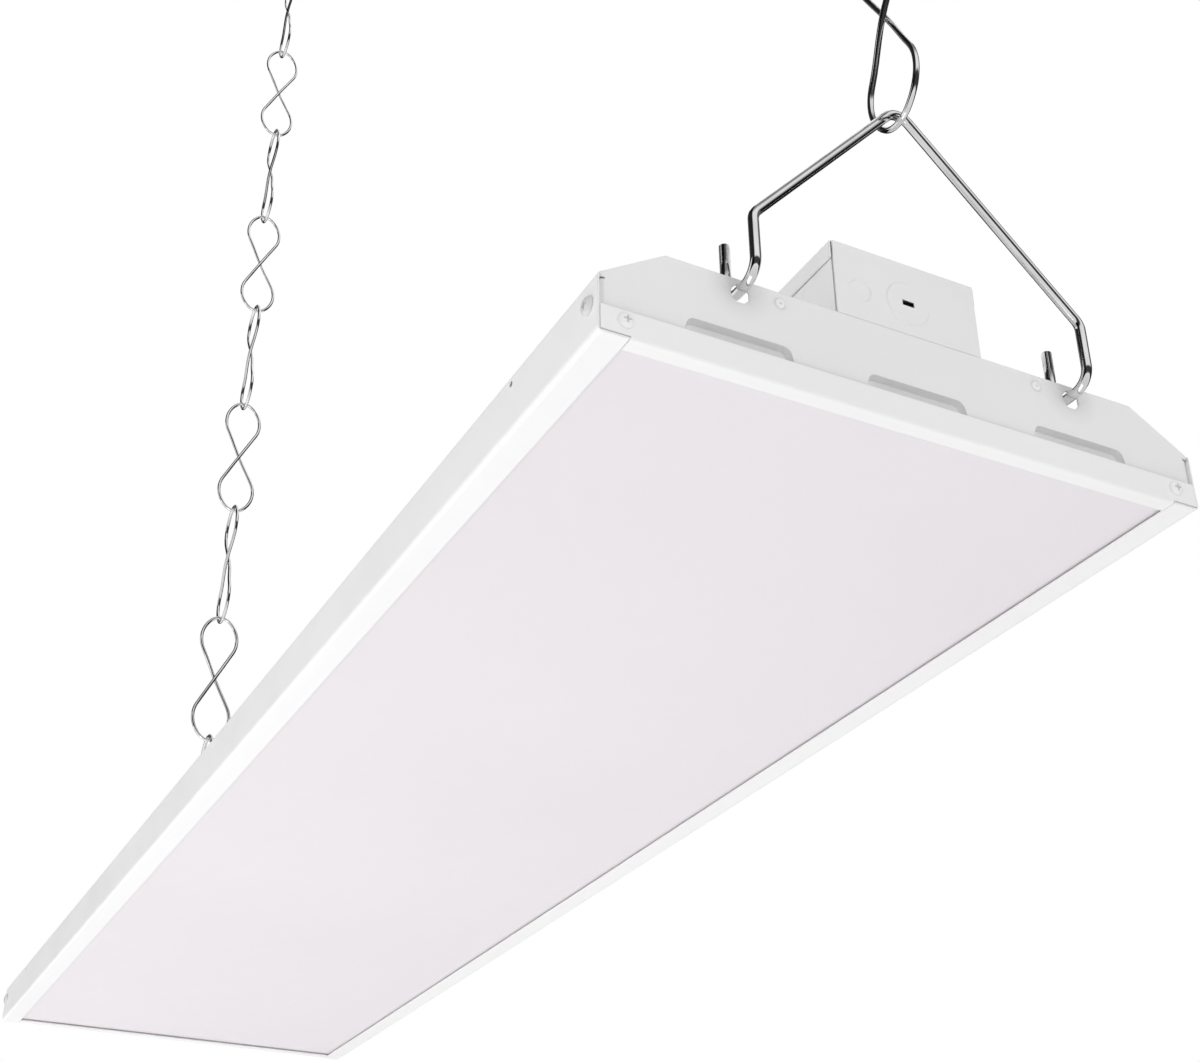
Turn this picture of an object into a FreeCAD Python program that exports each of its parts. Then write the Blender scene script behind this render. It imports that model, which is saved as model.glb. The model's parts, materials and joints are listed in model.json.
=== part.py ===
import FreeCAD, Part
import math
import os

# Hanging shop light: a flat white sheet-steel light with a frosted lens below and a wireway
# on top, carried at each end by a V-hook and a chain of figure-eight wire links.
# Frame: X along the light (front end at +X), Y across it, Z up. The origin lies midway between
# the two chain tops, at the height where a ceiling hook bears inside the top links.
# Everything is drawn from the underside of the light upwards and lowered when it is saved.
# Round bars, holes and bends are drawn with a few flat sides.

V = FreeCAD.Vector

# Light body: a ceiling pan between two folded side rails with lips below
LENGTH = 1111.7            # between the outer faces of the end plates
WIDTH = 305.0              # over the side walls
SIDE_HEIGHT = 28.7
SHEET = 0.8
BODY_BEND = 1.8            # to the middle of the sheet
LIP_WIDTH = 14.0
RAIL_FLANGE = 8.0          # top flange over the pan's edge
BODY_PAST_END = 0.6        # side rails run past the end plates
SIDE_HOLE = 3.0
SIDE_HOLE_INSET = 80.0
SIDE_HOLE_HEIGHT = 24.0

# End plates
END_HEIGHT = 47.4
END_TOP_WIDTH = 242.6
END_FOOT = 1.2             # lower edge above the underside
END_GAP = 0.2              # to the side walls
END_CORNER = 1.0
TAB_DEPTH = 16.0
TAB_LOW = 6.0
TAB_HIGH = 26.0
POCKET_SPACING = 87.5
POCKET_FOOT_WIDTH = 56.0
POCKET_TOP_WIDTH = 48.0
POCKET_LOW = 5.0
POCKET_HIGH = 20.3
POCKET_DEPTH = 3.0
POCKET_DRAFT = 1.2
POCKET_CORNER = 4.0

# Removable end trims, which hold the lens in
TRIM_HEIGHT = 13.0
TRIM_FLANGE = 8.2          # reach under the lens
TRIM_GAP = 0.3             # to the lips beside it
TRIM_SCREW_INSET = 12.2    # from the side walls' outer faces
TRIM_SCREW_HEIGHT = 8.0
TRIM_SCREW_HEAD = 7.3
TRIM_SCREW_LENGTH = 9.0

# Side screws through the side walls into the end plate tabs
SIDE_SCREW_INSET = 7.6
SIDE_SCREW_HEIGHT = 16.4
SIDE_SCREW_HEAD = 8.6
SIDE_SCREW_LENGTH = 7.0

# What all screws and their holes share
SCREW_SHANK = 3.5
SCREW_HEAD_RISE = 0.26     # height of a head over its diameter
SCREW_RIM = 0.4            # share of that height which stands straight
SCREW_CROWN = 0.6          # width of the flat crown over the diameter
HOLE_ROOM = 0.3            # a hole is this much wider than what passes it
ROUND_SIDES = 8
BEND_STEPS = 3

# Lens, reflector tray and light boards
LENS_THICKNESS = 2.0
LENS_EDGE_ROOM = 3.5       # to each side wall
TRAY_SHEET = 0.6
TRAY_BEND = 2.0
TRAY_LEAN = 6.0            # how far each tray side leans out
TRAY_INSET = 20.0          # from the end plates
TRAY_FOOT_GAP = 0.3        # above the lens
BOARD_WIDTH = 24.0
BOARD_THICKNESS = 1.6
BOARD_OFFSET = 72.0
BOARD_INSET = 30.0
EMITTER_LENGTH = 3.5
EMITTER_WIDTH = 2.8
EMITTER_HEIGHT = 0.8
EMITTERS_PER_BOARD = 24

# Wireway on top: channel, cover and end closures
CHANNEL_WIDTH = 75.0
CHANNEL_TOP = 85.6
CLOSURE_TOP = 86.3
COVER_TOP = 86.7
COVER_FLANGE = 9.3
COVER_ROOM = 0.4           # between channel wall and cover flange
COVER_INSET = 1.0
CLOSURE_GAP = 0.2          # above the end plate's top edge
EAR_WIDTH = 152.0
EAR_LOW = 32.0
EAR_CORNER = 3.0
LARGE_KNOCKOUT = 22.2
LARGE_KNOCKOUT_HEIGHT = 64.0
SMALL_KNOCKOUT = 11.0
SMALL_KNOCKOUT_OFFSET = -24.5
SMALL_KNOCKOUT_HEIGHT = 63.5
KNOCKOUT_CUT = 0.5
KNOCKOUT_BRIDGE = 2.0
KNOCKOUT_SIDES = 16
PRY_SLOT_LENGTH = 6.3
PRY_SLOT_WIDTH = 3.0
RIVET_OFFSET = 67.0
RIVET_HEIGHT = 41.7
RIVET_HEAD = 5.0
RIVET_CROWN = 3.4
RIVET_TAIL = 4.2
RIVET_SHANK = 3.2
RIVET_BORE = 1.8
COVER_SCREW_HEAD = 6.4
COVER_SCREW_LENGTH = 6.0
COVER_SCREW_INSET = 90.0
COVER_SCREWS_PER_SIDE = 3

# Electrical parts inside the wireway
DRIVER_LENGTH = 230.0
DRIVER_WIDTH = 44.0
DRIVER_HEIGHT = 30.0
DRIVER_PLACE = -180.0      # middle of the driver along X
DRIVER_CORNER = 3.0
DRIVER_EAR = 14.0
DRIVER_EAR_THICKNESS = 1.5
DRIVER_SCREW_HEAD = 7.0
BLOCK_LENGTH = 16.0
BLOCK_POLES = 3
BLOCK_PITCH = 10.0
BLOCK_HEIGHT = 13.0
BLOCK_INSET = 130.0
BLOCK_SCREW_HOLE = 4.0
BLOCK_SCREW_DEPTH = 3.9
WIRE = 2.4
WIRE_LIFT = 5.0            # supply wire axis above the channel floor
WIRE_SIDES = 6
GROMMET_HOLE = 12.0
GROMMET_LIP = 2.0
GROMMET_BORE = 7.0
GROMMET_PLACE = -340.0
LEAD_SPACING = 3.2
LEAD_DROP = 2.0            # lead axis below the tray
LEAD_BEND = 6.0            # over the grommet
LEAD_TURN = 3.6            # below it
LEAD_STEP = 45.0           # most degrees of bend at one corner

# V-hooks
HOOK_WIRE = 4.8
HOOK_HOLE = 9.0
HOOK_HOLE_OFFSET = 86.3
HOOK_HOLE_HEIGHT = 40.0
HOOK_SEAT_GAP = 0.4        # between the wire and the top of its hole
HOOK_LINK_GAP = 0.8        # between the hook's apex and the first link
HOOK_FRONT_REACH = 13.0    # outer leg before the end plate
HOOK_BACK_REACH = 10.5     # inner leg behind it
HOOK_FOOT_BEND = 9.0
HOOK_TIP_HEIGHT = 72.0
HOOK_SHOULDER_HEIGHT = 73.0
HOOK_SHOULDER_BEND = 9.0
HOOK_APEX_REACH = 7.5
HOOK_APEX_HEIGHT = 167.0
HOOK_APEX_BEND = 8.0
HOOK_STEP = 24.0           # most degrees of bend at one corner

# Chains
LINKS = 9
LINK_WIRE = 3.2
LINK_LENGTH = 133.0        # along the wire's middle
LINK_WIDTH = 36.0
LINK_END_RADIUS = 13.0
LINK_FLANK_RADIUS = 28.0
LINK_END_TURN = 28.0       # degrees from the straight end to the next straight run
LINK_FLANK_TURN = 30.0     # degrees from there to the upright run at the flank
LINK_GAP = 0.3             # between one wire and the next

# Worked out from the values above
HALF = LENGTH / 2
HALF_WIDTH = WIDTH / 2
TRIM_SCREW_OUT = HALF_WIDTH - TRIM_SCREW_INSET
WALL_INSIDE = HALF_WIDTH - SHEET
END_HALF = WALL_INSIDE - END_GAP
PAN_TOP = SIDE_HEIGHT - SHEET
PAN_HALF = HALF - SHEET - END_GAP
BODY_CEILING = PAN_TOP - SHEET
LIP_EDGE = HALF_WIDTH - LIP_WIDTH
LENS_TOP = SHEET + LENS_THICKNESS
TRAY_FLOOR = BODY_CEILING - TRAY_SHEET
TRAY_HALF = HALF - TRAY_INSET
CHANNEL_FLOOR = PAN_TOP + SHEET
CHANNEL_HALF = HALF - 2 * SHEET - END_GAP
CHANNEL_OUT = CHANNEL_WIDTH / 2
COVER_OUT = CHANNEL_OUT + COVER_ROOM + SHEET
CHAIN_PLACE = HALF + HOOK_APEX_REACH
LINK_PITCH = LINK_LENGTH - LINK_WIRE - LINK_GAP
HOOK_FOOT_HEIGHT = HOOK_HOLE_HEIGHT + (HOOK_HOLE - HOOK_WIRE) / 2 - HOOK_SEAT_GAP
FIRST_LINK_LOW = HOOK_APEX_HEIGHT - (HOOK_WIRE + LINK_WIRE) / 2 - HOOK_LINK_GAP
HANG = FIRST_LINK_LOW + LINK_PITCH * (LINKS - 1) + LINK_LENGTH - LINK_WIRE / 2


def save(name, shape):
    """Lower a piece to its place under the chain tops and write it."""
    placed = shape.copy()
    placed.translate(V(0, 0, -HANG))
    placed.exportStep(os.path.join("parts", name + ".step"))


def rear(shape):
    """The same piece at the rear end."""
    return shape.mirror(V(0, 0, 0), V(1, 0, 0))


def both_ends(shapes):
    return Part.makeCompound(shapes + [rear(s) for s in shapes])


def box(low, high):
    size = V(*high) - V(*low)
    return Part.makeBox(size.x, size.y, size.z, V(*low))


def loop(corners):
    return Part.makePolygon(corners + corners[:1])


def section(middle, u, v, diameter, sides):
    """Corners of a round bar's section, drawn as a polygon of the same area."""
    step = 2 * math.pi / sides
    radius = diameter / 2 * math.sqrt(step / math.sin(step))
    corners = []
    for i in range(sides):
        angle = (i + 0.5) * step
        corners.append(middle + u * (radius * math.cos(angle)) + v * (radius * math.sin(angle)))
    return corners


def rod(diameter, start, end, sides=ROUND_SIDES):
    begin = V(*start)
    run = V(*end) - begin
    u = V(0, 1, 0) if abs(run.z) > abs(run.x) + abs(run.y) else V(0, 0, 1)
    v = V(run).normalize().cross(u)
    return Part.Face(loop(section(begin, u, v, diameter, sides))).extrude(run)


def tapered(diameters, spots, along):
    """A bar whose width changes from spot to spot, as a loft of its sections."""
    u = V(0, 0, 1)
    v = V(*along).cross(u)
    rings = [loop(section(V(*spot), u, v, d, ROUND_SIDES)) for d, spot in zip(diameters, spots)]
    return Part.makeLoft(rings, True, True)


def corner_points(before, corner, after, radius, offset=0.0):
    """Points round a corner, moved sideways by an offset to the left."""
    first = (corner - before).normalize()
    second = (after - corner).normalize()
    turn = first.getAngle(second)
    left_turn = 1 if first.x * second.y - first.y * second.x > 0 else -1
    centre = corner + (second - first).normalize() * (radius / math.cos(turn / 2))
    outward = V(first.y, -first.x, 0) * left_turn
    reach = radius - left_turn * offset
    points = []
    for i in range(BEND_STEPS + 1):
        angle = turn * i / BEND_STEPS
        points.append(centre + outward * (reach * math.cos(angle)) + first * (reach * math.sin(angle)))
    return points


def sheet_side(route, offset, bend):
    """One skin of a folded sheet."""
    first = (route[1] - route[0]).normalize()
    final = (route[-1] - route[-2]).normalize()
    points = [route[0] + V(-first.y, first.x, 0) * offset]
    for before, corner, after in zip(route, route[1:], route[2:]):
        points += corner_points(before, corner, after, bend, offset)
    points.append(route[-1] + V(-final.y, final.x, 0) * offset)
    return points


def folded_sheet(route, thickness, bend, place, along):
    """A sheet folded along a route through its middle, pushed straight along."""
    corners = [V(u, w, 0) for u, w in route]
    left = sheet_side(corners, thickness / 2, bend)
    right = sheet_side(corners, -thickness / 2, bend)
    outline = [place(p.x, p.y) for p in left + right[::-1]]
    return Part.Face(loop(outline)).extrude(along)


def across(start):
    """Places a profile of Y and Z at one X."""
    return lambda u, w: V(start, u, w)


def rounded_loop(points, radius, place):
    """A closed outline whose corners share one radius."""
    spots = [V(u, w, 0) for u, w in points]
    outline = []
    for i, corner in enumerate(spots):
        follower = spots[(i + 1) % len(spots)]
        outline += corner_points(spots[i - 1], corner, follower, radius)
    return loop([place(p.x, p.y) for p in outline])


def bent_route(corners, bends, step):
    """A wire's route as straight runs that touch its bends from outside."""
    points = [corners[0]]
    for before, corner, after, radius in zip(corners, corners[1:], corners[2:], bends):
        first = (corner - before).normalize()
        second = (after - corner).normalize()
        turn = first.getAngle(second)
        inward = (second - first * first.dot(second)).normalize()
        centre = corner - first * (radius * math.tan(turn / 2)) + inward * radius
        count = math.ceil(math.degrees(turn) / step)
        reach = radius / math.cos(turn / count / 2)
        for i in range(count):
            angle = turn * (i + 0.5) / count
            points.append(centre + first * (reach * math.sin(angle)) - inward * (reach * math.cos(angle)))
    points.append(corners[-1])
    return points


def wire_form(points, flat_side, diameter, sides, closed):
    """A wire along straight runs, cut where they meet on the plane that halves the bend."""
    runs = [(b - a).normalize() for a, b in zip(points, points[1:] + points[:1])]
    if not closed:
        runs[-1] = runs[-2]
    start = runs[-1] if closed else runs[0]
    u = (flat_side - start * flat_side.dot(start)).normalize()
    corners = section(points[0], u, start.cross(u), diameter, sides)
    rings = []
    before = start
    for point, after in zip(points, runs):
        halving = before + after
        corners = [c + before * ((point - c).dot(halving) / before.dot(halving)) for c in corners]
        rings.append(loop(corners))
        before = after
    return Part.makeLoft(rings, True, True, closed)


def screw(head, length, spot, outward):
    """A pan-head screw; spot is the underside of its head."""
    height = SCREW_HEAD_RISE * head
    rim = SCREW_RIM * height
    diameters = (head, head, SCREW_CROWN * head)
    body = tapered(diameters, ((0, 0, 0), (rim, 0, 0), (height, 0, 0)), (1, 0, 0))
    body = body.fuse(rod(SCREW_SHANK, (-length, 0, 0), (rim, 0, 0))).removeSplitter()
    body.Placement = FreeCAD.Placement(V(*spot), FreeCAD.Rotation(V(1, 0, 0), V(*outward)))
    return body


def ceiling_pan():
    """Flat sheet under the top flanges of the side rails."""
    reach = WALL_INSIDE - BODY_BEND
    pan = box((-PAN_HALF, -reach, BODY_CEILING), (PAN_HALF, reach, PAN_TOP))
    return pan.cut(lead_hole())


def side_rail(side):
    """Side wall with a flange over the pan and a lip under the lens, in one folded sheet."""
    edge = HALF_WIDTH - SHEET / 2
    top = SIDE_HEIGHT - SHEET / 2
    low = SHEET / 2
    route = [(side * LIP_EDGE, low), (side * edge, low), (side * edge, top),
             (side * (edge - RAIL_FLANGE), top)]
    reach = HALF + BODY_PAST_END
    rail = folded_sheet(route, SHEET, BODY_BEND, across(-reach), V(2 * reach, 0, 0))
    inner, outer = side * (WALL_INSIDE - SHEET), side * (HALF_WIDTH + SHEET)
    for end in (-1, 1):
        ends = sorted((end * PAN_HALF, end * (reach + SHEET)))
        rail = rail.cut(box((ends[0], -WALL_INSIDE, SHEET), (ends[1], WALL_INSIDE, SIDE_HEIGHT + SHEET)))
        holes = ((SIDE_HOLE, end * (HALF - SIDE_HOLE_INSET), SIDE_HOLE_HEIGHT),
                 (SCREW_SHANK + HOLE_ROOM, end * (HALF - SIDE_SCREW_INSET), SIDE_SCREW_HEIGHT))
        for diameter, x, z in holes:
            rail = rail.cut(rod(diameter, (x, inner, z), (x, outer, z)))
    return rail


def lead_hole():
    """The hole that carries the lamp leads down through channel, ceiling pan and tray."""
    return rod(GROMMET_HOLE, (GROMMET_PLACE, 0, TRAY_FLOOR - SHEET),
               (GROMMET_PLACE, 0, CHANNEL_FLOOR + SHEET))


def pocket(middle, grow):
    """A drafted recess pressed into an end plate, or its outer skin when it grows."""
    rings = []
    for spread, x in ((grow, HALF - grow), (grow - POCKET_DRAFT, HALF - POCKET_DEPTH - grow)):
        foot = POCKET_FOOT_WIDTH / 2 + spread
        top = POCKET_TOP_WIDTH / 2 + spread
        points = [(middle - foot, POCKET_LOW - spread), (middle + foot, POCKET_LOW - spread),
                  (middle + top, POCKET_HIGH + spread), (middle - top, POCKET_HIGH + spread)]
        rings.append(rounded_loop(points, POCKET_CORNER + spread, across(x)))
    return Part.makeLoft(rings, True, True)


def end_plate():
    """Chamfered end plate with pressed pockets, hook holes and side tabs."""
    outline = [(-END_HALF, END_FOOT), (END_HALF, END_FOOT), (END_HALF, SIDE_HEIGHT),
               (END_TOP_WIDTH / 2, END_HEIGHT), (-END_TOP_WIDTH / 2, END_HEIGHT), (-END_HALF, SIDE_HEIGHT)]
    inner = HALF - SHEET
    plate = Part.Face(rounded_loop(outline, END_CORNER, across(inner))).extrude(V(SHEET, 0, 0))
    relief = SHEET + BODY_BEND
    for side in (-1, 1):
        edges = sorted((side * (END_HALF - relief), side * WIDTH))
        plate = plate.cut(box((inner - SHEET, edges[0], TAB_LOW - SHEET),
                              (HALF + SHEET, edges[1], TAB_HIGH + SHEET)))
    edge = END_HALF - SHEET / 2
    middle = HALF - SHEET / 2
    strap_route = [(HALF - TAB_DEPTH, -edge), (middle, -edge), (middle, edge), (HALF - TAB_DEPTH, edge)]
    strap = folded_sheet(strap_route, SHEET, BODY_BEND, lambda u, w: V(u, w, TAB_LOW),
                         V(0, 0, TAB_HIGH - TAB_LOW))
    middles = (-POCKET_SPACING, 0.0, POCKET_SPACING)
    plate = plate.fuse(strap).multiFuse([pocket(m, SHEET) for m in middles])
    plate = plate.cut(box((HALF, -WIDTH, 0), (HALF + SHEET, WIDTH, END_HEIGHT)))
    for m in middles:
        plate = plate.cut(pocket(m, 0.0))
    for side in (-1, 1):
        hole_x = HALF - SIDE_SCREW_INSET
        plate = plate.cut(rod(SCREW_SHANK + HOLE_ROOM, (hole_x, side * END_HALF / 2, SIDE_SCREW_HEIGHT),
                              (hole_x, side * WIDTH, SIDE_SCREW_HEIGHT)))
        holes = ((HOOK_HOLE, side * HOOK_HOLE_OFFSET, HOOK_HOLE_HEIGHT),
                 (RIVET_SHANK, side * RIVET_OFFSET, RIVET_HEIGHT),
                 (SCREW_SHANK + HOLE_ROOM, side * TRIM_SCREW_OUT, TRIM_SCREW_HEIGHT))
        for diameter, y, z in holes:
            plate = plate.cut(rod(diameter, (inner - SHEET, y, z), (HALF + SHEET, y, z)))
    return plate.removeSplitter()


def end_trim():
    """Removable L-section strip: it stands before the end plate and reaches under the lens."""
    half = LIP_EDGE - TRIM_GAP
    middle = HALF + SHEET / 2
    route = [(HALF + SHEET - TRIM_FLANGE, SHEET / 2), (middle, SHEET / 2), (middle, TRIM_HEIGHT)]
    trim = folded_sheet(route, SHEET, SHEET, lambda u, w: V(u, -half, w), V(0, 2 * half, 0))
    for side in (-1, 1):
        edges = sorted((side * (half - SHEET), side * END_HALF))
        trim = trim.fuse(box((HALF, edges[0], END_FOOT), (HALF + SHEET, edges[1], TRIM_HEIGHT)))
        y = side * TRIM_SCREW_OUT
        hole = SCREW_SHANK + HOLE_ROOM
        trim = trim.cut(rod(hole, (HALF - SHEET, y, TRIM_SCREW_HEIGHT),
                            (HALF + 2 * SHEET, y, TRIM_SCREW_HEIGHT)))
    return trim.removeSplitter()


def trim_screws():
    spots = [(HALF + SHEET, side * TRIM_SCREW_OUT, TRIM_SCREW_HEIGHT) for side in (-1, 1)]
    return both_ends([screw(TRIM_SCREW_HEAD, TRIM_SCREW_LENGTH, spot, (1, 0, 0)) for spot in spots])


def side_screws():
    screws = []
    for side in (-1, 1):
        spot = (HALF - SIDE_SCREW_INSET, side * HALF_WIDTH, SIDE_SCREW_HEIGHT)
        screws.append(screw(SIDE_SCREW_HEAD, SIDE_SCREW_LENGTH, spot, (0, side, 0)))
    return both_ends(screws)


def lens():
    """Flat frosted sheet that lies on the lips and trims."""
    half_length = HALF - SHEET - LENS_EDGE_ROOM / 2
    half_width = WALL_INSIDE - LENS_EDGE_ROOM
    return box((-half_length, -half_width, SHEET), (half_length, half_width, LENS_TOP))


def reflector_tray():
    """White tray against the ceiling whose sides lean out to the lens edges."""
    foot = WALL_INSIDE - LENS_EDGE_ROOM - TRAY_SHEET
    crown = foot - TRAY_LEAN
    low = LENS_TOP + TRAY_FOOT_GAP
    top = BODY_CEILING - TRAY_SHEET / 2
    route = [(-foot, low), (-crown, top), (crown, top), (foot, low)]
    tray = folded_sheet(route, TRAY_SHEET, TRAY_BEND, across(-TRAY_HALF), V(2 * TRAY_HALF, 0, 0))
    return tray.cut(lead_hole())


def light_board(side):
    half = HALF - BOARD_INSET
    middle = side * BOARD_OFFSET
    return box((-half, middle - BOARD_WIDTH / 2, TRAY_FLOOR - BOARD_THICKNESS),
               (half, middle + BOARD_WIDTH / 2, TRAY_FLOOR))


def emitters():
    """Evenly spaced light emitters below both boards."""
    top = TRAY_FLOOR - BOARD_THICKNESS
    pitch = 2 * (HALF - BOARD_INSET) / EMITTERS_PER_BOARD
    blocks = []
    for side in (-1, 1):
        for i in range(EMITTERS_PER_BOARD):
            x = (i + 0.5) * pitch - (HALF - BOARD_INSET)
            y = side * BOARD_OFFSET
            blocks.append(box((x - EMITTER_LENGTH / 2, y - EMITTER_WIDTH / 2, top - EMITTER_HEIGHT),
                              (x + EMITTER_LENGTH / 2, y + EMITTER_WIDTH / 2, top)))
    return Part.makeCompound(blocks)


def wireway_channel():
    """U-channel that stands on the pan, the lower half of the wireway."""
    edge = CHANNEL_OUT - SHEET / 2
    low = PAN_TOP + SHEET / 2
    route = [(-edge, CHANNEL_TOP), (-edge, low), (edge, low), (edge, CHANNEL_TOP)]
    channel = folded_sheet(route, SHEET, BODY_BEND, across(-CHANNEL_HALF), V(2 * CHANNEL_HALF, 0, 0))
    return channel.cut(cover_screw_holes()).cut(lead_hole())


def cover_screw_spots():
    reach = HALF - COVER_SCREW_INSET
    height = COVER_TOP - COVER_FLANGE / 2
    spots = []
    for side in (-1, 1):
        for i in range(COVER_SCREWS_PER_SIDE):
            x = -reach + 2 * reach * i / (COVER_SCREWS_PER_SIDE - 1)
            spots.append((x, side * COVER_OUT, height))
    return spots


def cover_screw_holes():
    """What the cover screws' holes take out of channel and cover."""
    hole = SCREW_SHANK + HOLE_ROOM
    return Part.makeCompound([rod(hole, (x, y / 2, z), (x, 2 * y, z)) for x, y, z in cover_screw_spots()])


def wireway_cover():
    """Lid of the wireway with turned-down sides."""
    edge = COVER_OUT - SHEET / 2
    top = COVER_TOP - SHEET / 2
    low = COVER_TOP - COVER_FLANGE
    half = HALF - COVER_INSET
    route = [(-edge, low), (-edge, top), (edge, top), (edge, low)]
    cover = folded_sheet(route, SHEET, SHEET, across(-half), V(2 * half, 0, 0))
    return cover.cut(cover_screw_holes())


def cover_screws():
    screws = []
    for x, y, z in cover_screw_spots():
        outward = (0, math.copysign(1, y), 0)
        screws.append(screw(COVER_SCREW_HEAD, COVER_SCREW_LENGTH, (x, y, z), outward))
    return Part.makeCompound(screws)


def knockout_cut(diameter, y, z):
    """The ring cut round a knockout, left whole at two bridges."""
    start = (HALF - 2 * SHEET, y, z)
    end = (HALF + SHEET, y, z)
    inside = rod(diameter - 2 * KNOCKOUT_CUT, start, end, KNOCKOUT_SIDES)
    bridge = box((start[0], y - KNOCKOUT_BRIDGE / 2, z - diameter),
                 (end[0], y + KNOCKOUT_BRIDGE / 2, z + diameter))
    return rod(diameter, start, end, KNOCKOUT_SIDES).cut(inside).cut(bridge)


def wireway_closure():
    """End closure of the wireway, with knockouts and two ears riveted behind the end plate."""
    upper_low = END_HEIGHT + CLOSURE_GAP
    plate = box((HALF - SHEET, -CHANNEL_OUT, upper_low), (HALF, CHANNEL_OUT, CLOSURE_TOP))
    step = box((HALF - 2 * SHEET, -CHANNEL_OUT, END_HEIGHT - SHEET),
               (HALF - SHEET, CHANNEL_OUT, upper_low + 2 * SHEET))
    ears = [(-EAR_WIDTH / 2, EAR_LOW), (EAR_WIDTH / 2, EAR_LOW),
            (EAR_WIDTH / 2, END_HEIGHT - SHEET / 2), (-EAR_WIDTH / 2, END_HEIGHT - SHEET / 2)]
    ear_face = Part.Face(rounded_loop(ears, EAR_CORNER, across(HALF - 2 * SHEET)))
    closure = plate.fuse(step).fuse(ear_face.extrude(V(SHEET, 0, 0)))
    closure = closure.cut(knockout_cut(LARGE_KNOCKOUT, 0, LARGE_KNOCKOUT_HEIGHT))
    closure = closure.cut(knockout_cut(SMALL_KNOCKOUT, SMALL_KNOCKOUT_OFFSET, SMALL_KNOCKOUT_HEIGHT))
    slot = box((HALF - 2 * SHEET, -PRY_SLOT_LENGTH / 2, LARGE_KNOCKOUT_HEIGHT - PRY_SLOT_WIDTH / 2),
               (HALF + SHEET, PRY_SLOT_LENGTH / 2, LARGE_KNOCKOUT_HEIGHT + PRY_SLOT_WIDTH / 2))
    closure = closure.cut(slot)
    for side in (-1, 1):
        y = side * RIVET_OFFSET
        closure = closure.cut(rod(RIVET_SHANK, (HALF - 3 * SHEET, y, RIVET_HEIGHT), (HALF, y, RIVET_HEIGHT)))
    return closure.removeSplitter()


def rivets():
    """Hollow rivets that join each end plate and wireway closure."""
    pieces = []
    for side in (-1, 1):
        def spot(x):
            return (x, side * RIVET_OFFSET, RIVET_HEIGHT)
        back = HALF - 2 * SHEET
        rivet = tapered((RIVET_HEAD, RIVET_CROWN), (spot(HALF), spot(HALF + SHEET)), (1, 0, 0))
        rivet = rivet.fuse(rod(RIVET_SHANK, spot(back - SHEET), spot(HALF + SHEET / 2)))
        rivet = rivet.fuse(rod(RIVET_TAIL, spot(back - SHEET), spot(back)))
        pieces.append(rivet.cut(rod(RIVET_BORE, spot(back), spot(HALF + 2 * SHEET))).removeSplitter())
    return both_ends(pieces)


def led_driver():
    """Boxed power supply with a foot at each end."""
    half = DRIVER_LENGTH / 2
    side = DRIVER_WIDTH / 2
    low, high = DRIVER_PLACE - half, DRIVER_PLACE + half
    outline = [(low, -side), (high, -side), (high, side), (low, side)]
    body = Part.Face(rounded_loop(outline, DRIVER_CORNER, lambda u, w: V(u, w, CHANNEL_FLOOR)))
    body = body.extrude(V(0, 0, DRIVER_HEIGHT))
    foot_top = CHANNEL_FLOOR + DRIVER_EAR_THICKNESS
    driver = body.fuse(box((low - DRIVER_EAR, -side, CHANNEL_FLOOR), (high + DRIVER_EAR, side, foot_top)))
    for x in driver_screw_places():
        driver = driver.cut(rod(SCREW_SHANK + HOLE_ROOM, (x, 0, CHANNEL_FLOOR - SHEET),
                                (x, 0, foot_top + SHEET)))
    return driver.removeSplitter()


def driver_screw_places():
    reach = DRIVER_LENGTH / 2 + DRIVER_EAR / 2
    return [DRIVER_PLACE - reach, DRIVER_PLACE + reach]


def driver_screws():
    height = CHANNEL_FLOOR + DRIVER_EAR_THICKNESS
    return Part.makeCompound([screw(DRIVER_SCREW_HEAD, DRIVER_EAR_THICKNESS, (x, 0, height), (0, 0, 1))
                              for x in driver_screw_places()])


def pole_places():
    return [(i + 0.5) * BLOCK_PITCH - BLOCK_POLES * BLOCK_PITCH / 2 for i in range(BLOCK_POLES)]


def terminal_block():
    """Three-pole connection block for the supply."""
    half = BLOCK_POLES * BLOCK_PITCH / 2
    x = HALF - BLOCK_INSET
    top = CHANNEL_FLOOR + BLOCK_HEIGHT
    wire_height = CHANNEL_FLOOR + WIRE_LIFT
    block = box((x - BLOCK_LENGTH / 2, -half, CHANNEL_FLOOR), (x + BLOCK_LENGTH / 2, half, top))
    for y in pole_places():
        block = block.cut(rod(WIRE + HOLE_ROOM, (x - BLOCK_LENGTH, y, wire_height),
                              (x + BLOCK_LENGTH, y, wire_height), WIRE_SIDES))
        block = block.cut(rod(BLOCK_SCREW_HOLE, (x, y, top - BLOCK_SCREW_DEPTH), (x, y, top + SHEET)))
    return block


def supply_wires():
    """Three insulated wires from the block to the driver, along the channel floor."""
    height = CHANNEL_FLOOR + WIRE_LIFT
    start = DRIVER_PLACE + DRIVER_LENGTH / 2
    end = HALF - BLOCK_INSET
    return Part.makeCompound([rod(WIRE, (start, y, height), (end, y, height), WIRE_SIDES)
                              for y in pole_places()])


def lamp_leads():
    """A lead from the driver down through the grommet to each board."""
    leads = []
    high = CHANNEL_FLOOR + DRIVER_HEIGHT / 2
    low = TRAY_FLOOR - LEAD_DROP
    for side in (-1, 1):
        y = side * LEAD_SPACING / 2
        corners = [V(DRIVER_PLACE - DRIVER_LENGTH / 2, y, high), V(GROMMET_PLACE, y, high),
                   V(GROMMET_PLACE, y, low), V(GROMMET_PLACE, side * (BOARD_OFFSET - BOARD_WIDTH / 2), low)]
        route = bent_route(corners, [LEAD_BEND, LEAD_TURN], LEAD_STEP)
        leads.append(wire_form(route, V(0, 1, 0), WIRE, WIRE_SIDES, False))
    return Part.makeCompound(leads)


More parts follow.
